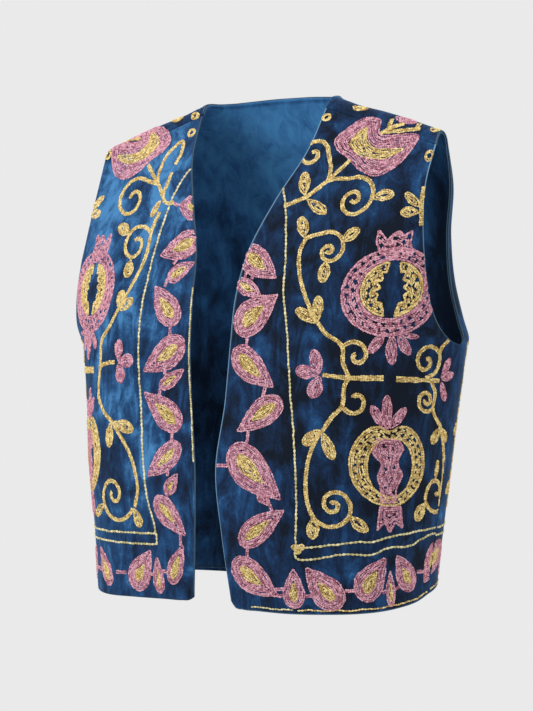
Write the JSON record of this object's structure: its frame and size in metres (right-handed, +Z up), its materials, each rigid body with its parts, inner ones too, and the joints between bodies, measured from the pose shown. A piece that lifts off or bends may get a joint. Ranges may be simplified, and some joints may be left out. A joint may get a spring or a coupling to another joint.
{
  "type": "waistcoat",
  "caption": "Open-fronted collarless velvet waistcoat with a V neck and embroidered fronts, in the pose of wear and hollow, with open armholes and a plain lined back.",
  "frame": {"origin": "midway between the two points where the shoulder ridge meets the neck hole, where the wearer's shoulders carry it", "axes": "+Z up, the wearer faces -Y, and the wearer's left is +X"},
  "size_m": [0.4395, 0.2399, 0.5252],
  "materials": {
    "velvet": "blue velvet pile",
    "lining": "plain blue velvet",
    "pink_thread": "dusty pink chain stitch",
    "yellow_thread": "yellow chain stitch",
    "cream_thread": "cream chain stitch"
  },
  "bodies": {
    "root": {"front_left": "velvet", "front_right": "velvet", "back": "velvet", "back_lining": "lining"}
  },
  "joints": []
}
